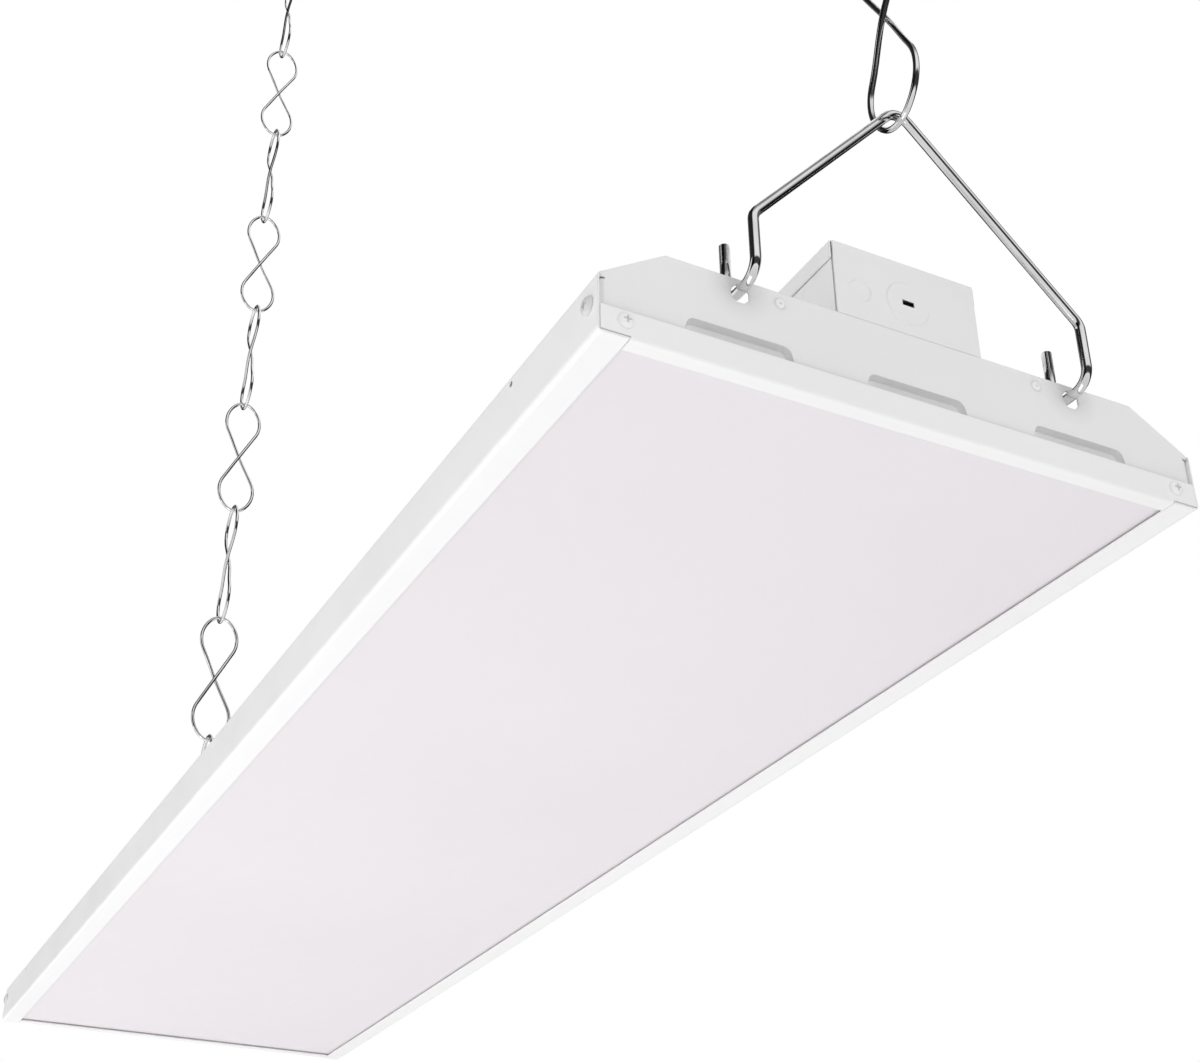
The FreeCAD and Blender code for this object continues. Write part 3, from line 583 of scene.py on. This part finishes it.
def closure_face(bm, x, way, outline):
    """One side of the closure sheet: flat, with the knockouts pressed in or out."""

    def ring(points, push):
        return [bm.verts.new((x + way * push, y, UNDERSIDE + z)) for y, z in points]

    def edges(loop):
        return [bm.edges.new((loop[i], loop[(i + 1) % len(loop)])) for i in range(len(loop))]

    def edges_of(loop):
        return [bm.edges.get((loop[i], loop[i - 1])) for i in range(len(loop))]

    border = ring(outline, 0)
    loops = edges(border)
    discs = []
    for radius, y, z, push in KNOCKOUTS:
        rings = [ring(circle(radius + spread, y, z), share * push) for spread, share in KNOCKOUT_STEP]
        for first, second in zip(rings, rings[1:]):
            join_rings(bm, first, second)
        loops += edges_of(rings[0])
        discs.append(rings[-1])
    bmesh.ops.triangle_fill(bm, edges=loops, use_beauty=True)
    slotted, plain = discs
    bm.faces.new(plain)
    radius, y, z, push = KNOCKOUTS[0]
    half_length, half_width = KNOCKOUT_SLOT
    slot = ring([(y + u * half_length, z + w * half_width)
                 for u, w in ((-1, -1), (1, -1), (1, 1), (-1, 1))], push)
    bmesh.ops.triangle_fill(bm, edges=edges_of(slotted) + edges(slot), use_beauty=True)
    return border, slot


def sheet_piece(bm, outline, x0, x1):
    """Flat sheet between two places along the light."""
    rings = [[bm.verts.new((x, y, UNDERSIDE + z)) for y, z in outline] for x in (x0, x1)]
    join_rings(bm, *rings)
    bm.faces.new(rings[0])
    bm.faces.new(rings[1])


def closures():
    """Wireway closures with pressed knockouts and ears behind the end plate."""
    outline = [(-CLOSURE_OUT, CLOSURE_LOW), (CLOSURE_OUT, CLOSURE_LOW),
               (CLOSURE_OUT, CLOSURE_TOP), (-CLOSURE_OUT, CLOSURE_TOP)]
    ears = [(-EAR_OUT, EAR_LOW), (EAR_OUT, EAR_LOW), (EAR_OUT, EAR_TOP), (CLOSURE_OUT, EAR_TOP),
            (CLOSURE_OUT, STEP_TOP), (-CLOSURE_OUT, STEP_TOP), (-CLOSURE_OUT, EAR_TOP),
            (-EAR_OUT, EAR_TOP)]
    for end, way in (("front", 1), ("rear", -1)):
        node = end + "_wireway_closure"
        face = way * END_FACE
        bm = bmesh.new()
        front = closure_face(bm, face, way, outline)
        back = closure_face(bm, face - way * SHEET, way, outline)
        for first, second in zip(front, back):
            join_rings(bm, first, second)
        sheet_piece(bm, ears, face - way * (SHEET + EAR_GAP), face - way * 2 * SHEET)
        stand_for(finished(bm, node + "_pressed", ENAMEL), node)


# ---------------------------------------------------------------- wire forms

def section_ring(bm, point, way, side, radius, sides):
    """A circle of vertices across the wire."""
    up = way.cross(side).normalized()
    out = up.cross(way).normalized()
    ring = []
    for i in range(sides):
        angle = 2 * math.pi * i / sides
        ring.append(bm.verts.new(point + (out * math.cos(angle) + up * math.sin(angle)) * radius))
    return ring


def wire_mesh(name, points, radius, sides, side, closed, material):
    """A smooth round wire along points; its section keeps one side without twist."""
    bm = bmesh.new()
    rings = []
    last = len(points) - 1
    for i, point in enumerate(points):
        after = points[(i + 1) % len(points)] if closed else points[min(i + 1, last)]
        before = points[i - 1] if closed else points[max(i - 1, 0)]
        way = (after - before).normalized()
        side = (side - way * side.dot(way)).normalized()
        rings.append(section_ring(bm, point, way, side, radius, sides))
    for first, second in zip(rings, rings[1:]):
        join_rings(bm, first, second)
    if closed:
        join_rings(bm, rings[-1], rings[0])
    else:
        bm.faces.new(rings[0][::-1])
        bm.faces.new(rings[-1])
    return finished(bm, name, material)


def arc_angles(first, last):
    """Angles from first to last in even steps."""
    steps = max(2, math.ceil(abs(last - first) / ARC_STEP))
    return [first + (last - first) * i / steps for i in range(steps + 1)]


def link_half():
    """Right half of a link's lower loop, from the end's middle up to the crossing run."""
    shift = LINK_FLANK_RADIUS - LINK_WIDTH / 2
    lean = math.asin(shift / (LINK_FLANK_RADIUS - LINK_END_RADIUS))
    end_middle = LINK_END_RADIUS - LINK_LENGTH / 2
    flank_middle = end_middle + (LINK_FLANK_RADIUS - LINK_END_RADIUS) * math.cos(lean)
    down = -math.pi / 2
    points = [(LINK_END_RADIUS * math.cos(a), end_middle + LINK_END_RADIUS * math.sin(a))
              for a in arc_angles(down, down + lean)]
    to_crossing = math.hypot(shift, flank_middle)
    last = math.atan2(-flank_middle, shift) - math.acos(LINK_FLANK_RADIUS / to_crossing)
    points += [(LINK_FLANK_RADIUS * math.cos(a) - shift,
                flank_middle + LINK_FLANK_RADIUS * math.sin(a))
               for a in arc_angles(down + lean, last)[1:]]
    return points


def crossing_run(start, side):
    """From one flank to the opposite one, bowed to one side at the waist."""
    run = []
    for i in range(1, CROSSING_STEPS):
        t = 2 * i / CROSSING_STEPS - 1
        bow = 0.5 + 0.5 * math.cos(math.pi * t)
        run.append(Vector((-start.x * t, side * LINK_CROSSING * bow, -start.z * t)))
    return run


def link_route():
    """Once round a figure-eight link that stands upright."""
    half = link_half()
    lower = [Vector((-u, 0, w)) for u, w in reversed(half[1:])]
    lower += [Vector((u, 0, w)) for u, w in half]
    upper = [Vector((p.x, 0, -p.z)) for p in lower]
    return lower + crossing_run(lower[-1], 1) + upper + crossing_run(upper[-1], -1)


def chain_links():
    """A round-wire link in the place of each chain link."""
    route = link_route()
    for end in ("front", "rear"):
        for number in range(1, LINKS + 1):
            node = "%s_chain_link_%d" % (end, number)
            middle = middle_of(node)
            turn = Matrix.Rotation(math.pi / 2 * ((number - 1) % 2), 3, "Z")
            points = [turn @ p + middle for p in route]
            piece = wire_mesh(node + "_wire", points, LINK_WIRE / 2, LINK_SIDES,
                              turn @ Vector((0, 1, 0)), True, ZINC)
            stand_for(piece, node)


def rounded_route(corners, bends):
    """Points along straight runs with round bends between them."""
    points = [corners[0]]
    for before, corner, after, radius in zip(corners, corners[1:], corners[2:], bends):
        first = (corner - before).normalized()
        second = (after - corner).normalized()
        turn = first.angle(second)
        start = corner - first * radius * math.tan(turn / 2)
        inward = (second - first * first.dot(second)).normalized()
        for angle in arc_angles(0, turn):
            points.append(start + first * radius * math.sin(angle)
                          + inward * radius * (1 - math.cos(angle)))
    points.append(corners[-1])
    return points


def v_hooks():
    """Round wire hooks through the end plates, in the place of the frame's hooks."""
    wire = HOOK_WIRE / 2
    for end, way in (("front", 1), ("rear", -1)):
        node = end + "_v_hook"
        low, high = (Vector(corner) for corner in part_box(node))
        front = (high.x - wire) if way > 0 else (low.x + wire)
        back = (low.x + wire) if way > 0 else (high.x - wire)
        foot = low.z + wire
        out = high.y - wire
        shoulder = foot + HOOK_SHOULDER_RISE
        top = high.z - wire + HOOK_LIFT
        lean = math.atan2(out, top - shoulder)
        peak = top + HOOK_APEX_BEND * (1 / math.sin(lean) - 1)
        right = [Vector((back, out, foot + HOOK_TIP_RISE)), Vector((back, out, foot)),
                 Vector((front, out, foot)), Vector((front, out, shoulder))]
        left = [Vector((p.x, -p.y, p.z)) for p in reversed(right)]
        bends = [HOOK_FOOT_TURN, HOOK_FOOT_TURN, HOOK_SHOULDER_BEND]
        apex = Vector((middle_of(end + "_chain_link_1").x, 0, peak))
        route = rounded_route(right + [apex] + left, bends + [HOOK_APEX_BEND] + bends[::-1])
        piece = wire_mesh(node + "_wire", route, wire, HOOK_SIDES, Vector((0, 1, 0)), False, ZINC)
        stand_for(piece, node)


# ---------------------------------------------------------------- stage

def background_rays(nodes, links, *kinds):
    """One for rays of these kinds and zero for all others."""
    rays = nodes.new("ShaderNodeLightPath")
    total = rays.outputs[kinds[0]]
    for kind in kinds[1:]:
        add = nodes.new("ShaderNodeMath")
        add.operation = "ADD"
        add.use_clamp = True
        links.new(total, add.inputs[0])
        links.new(rays.outputs[kind], add.inputs[1])
        total = add.outputs["Value"]
    return total


def floor_paint():
    """Pale floor that keeps the shadow near the light and fades to white far from it."""
    material, nodes, links, shader = new_material("floor_paint")
    cloud = position_noise(nodes, links, 1.5)
    tint(nodes, links, shader, cloud, (0.84, 0.84, 0.84), (0.87, 0.87, 0.87))
    shader.inputs["Roughness"].default_value = 0.7
    place = nodes.new("ShaderNodeTexCoord")
    reach = nodes.new("ShaderNodeVectorMath")
    reach.operation = "LENGTH"
    fade = nodes.new("ShaderNodeMapRange")
    for name, value in zip(("From Min", "From Max", "To Min", "To Max"), FLOOR_FADE):
        fade.inputs[name].default_value = value
    share = nodes.new("ShaderNodeMath")
    share.operation = "MULTIPLY"
    white = nodes.new("ShaderNodeEmission")
    mix = nodes.new("ShaderNodeMixShader")
    seen = background_rays(nodes, links, "Is Camera Ray", "Is Glossy Ray", "Is Transmission Ray")
    links.new(place.outputs["Object"], reach.inputs[0])
    links.new(reach.outputs["Value"], fade.inputs["Value"])
    links.new(fade.outputs["Result"], share.inputs[0])
    links.new(seen, share.inputs[1])
    links.new(share.outputs["Value"], mix.inputs["Fac"])
    links.new(shader.outputs["BSDF"], mix.inputs[1])
    links.new(white.outputs["Emission"], mix.inputs[2])
    links.new(mix.outputs["Shader"], nodes["Material Output"].inputs["Surface"])
    return material


def floor():
    """Wide floor well below the light."""
    half = FLOOR_SIZE / 2
    height = UNDERSIDE - FLOOR_DROP
    bm = bmesh.new()
    bm.faces.new([bm.verts.new((x, y, height))
                  for x, y in ((-half, -half), (half, -half), (half, half), (-half, half))])
    placed(bm, "floor", floor_paint())


def world():
    """White to the camera, softer as light, and white with dark flags in reflections."""
    background = bpy.data.worlds.new("studio")
    bpy.context.scene.world = background
    background.use_nodes = True
    nodes = background.node_tree.nodes
    links = background.node_tree.links
    nodes.clear()

    def white(strength):
        node = nodes.new("ShaderNodeBackground")
        node.inputs["Color"].default_value = (1, 1, 1, 1)
        node.inputs["Strength"].default_value = strength
        return node

    def ramp(stops):
        node = nodes.new("ShaderNodeValToRGB")
        grey_stops(node, stops)
        return node

    place = nodes.new("ShaderNodeTexCoord")
    turn = nodes.new("ShaderNodeMapping")
    turn.inputs["Rotation"].default_value = (0, 0, -FLAG_TURN)
    round_about = nodes.new("ShaderNodeTexGradient")
    round_about.gradient_type = "RADIAL"
    sideways = ramp(FLAGS_ROUND)
    split = nodes.new("ShaderNodeSeparateXYZ")
    rise = nodes.new("ShaderNodeMapRange")
    rise.inputs["From Min"].default_value = -1
    upward = ramp(FLAGS_UP)
    both = nodes.new("ShaderNodeVectorMath")
    both.operation = "MULTIPLY"
    links.new(place.outputs["Generated"], turn.inputs["Vector"])
    links.new(turn.outputs["Vector"], round_about.inputs["Vector"])
    links.new(round_about.outputs["Fac"], sideways.inputs["Fac"])
    links.new(place.outputs["Generated"], split.inputs["Vector"])
    links.new(split.outputs["Z"], rise.inputs["Value"])
    links.new(rise.outputs["Result"], upward.inputs["Fac"])
    links.new(sideways.outputs["Color"], both.inputs[0])
    links.new(upward.outputs["Color"], both.inputs[1])

    seen = white(1.0)
    glow = white(WORLD_GLOW)
    mirrored = white(1.0)
    links.new(both.outputs["Vector"], mirrored.inputs["Color"])
    gloss = nodes.new("ShaderNodeMixShader")
    mix = nodes.new("ShaderNodeMixShader")
    output = nodes.new("ShaderNodeOutputWorld")
    straight = background_rays(nodes, links, "Is Camera Ray", "Is Transmission Ray")
    links.new(background_rays(nodes, links, "Is Glossy Ray"), gloss.inputs["Fac"])
    links.new(glow.outputs["Background"], gloss.inputs[1])
    links.new(mirrored.outputs["Background"], gloss.inputs[2])
    links.new(straight, mix.inputs["Fac"])
    links.new(gloss.outputs["Shader"], mix.inputs[1])
    links.new(seen.outputs["Background"], mix.inputs[2])
    links.new(mix.outputs["Shader"], output.inputs["Surface"])


def area_light(name, place, target, size, power):
    """A soft rectangular lamp that faces its target."""
    light = bpy.data.lights.new(name, "AREA")
    light.shape = "RECTANGLE"
    light.size = size[0]
    light.size_y = size[1]
    light.energy = power
    lamp = bpy.data.objects.new(name, light)
    lamp.location = place
    lamp.rotation_euler = (Vector(target) - Vector(place)).to_track_quat("-Z", "Y").to_euler()
    bpy.context.scene.collection.objects.link(lamp)
    return lamp


def lights():
    """Large lamps round the light; one is kept out of reflections."""
    middle = Vector((0, 0, UNDERSIDE))
    for name, (offset, size, power) in LAMPS.items():
        lamp = area_light(name, middle + Vector(offset), middle, size, power)
        lamp.visible_glossy = name != UNMIRRORED_LAMP


def camera():
    """The camera, below the light's near end."""
    data = bpy.data.cameras.new("camera")
    data.sensor_fit = "HORIZONTAL"
    data.sensor_width = CAMERA_SENSOR
    data.lens = CAMERA_LENS
    data.shift_x, data.shift_y = CAMERA_SHIFT
    data.clip_end = CAMERA_REACH
    view = bpy.data.objects.new("camera", data)
    turn = Matrix((CAMERA_RIGHT, CAMERA_UP, CAMERA_BACK)).transposed()
    view.matrix_world = Matrix.Translation(CAMERA_PLACE) @ turn.to_4x4()
    bpy.context.scene.collection.objects.link(view)
    bpy.context.scene.camera = view


dress_light()
lens_panel()
closures()
screws()
rivets()
chain_links()
v_hooks()
floor()
world()
lights()
camera()
bpy.context.scene.view_settings.view_transform = "Standard"
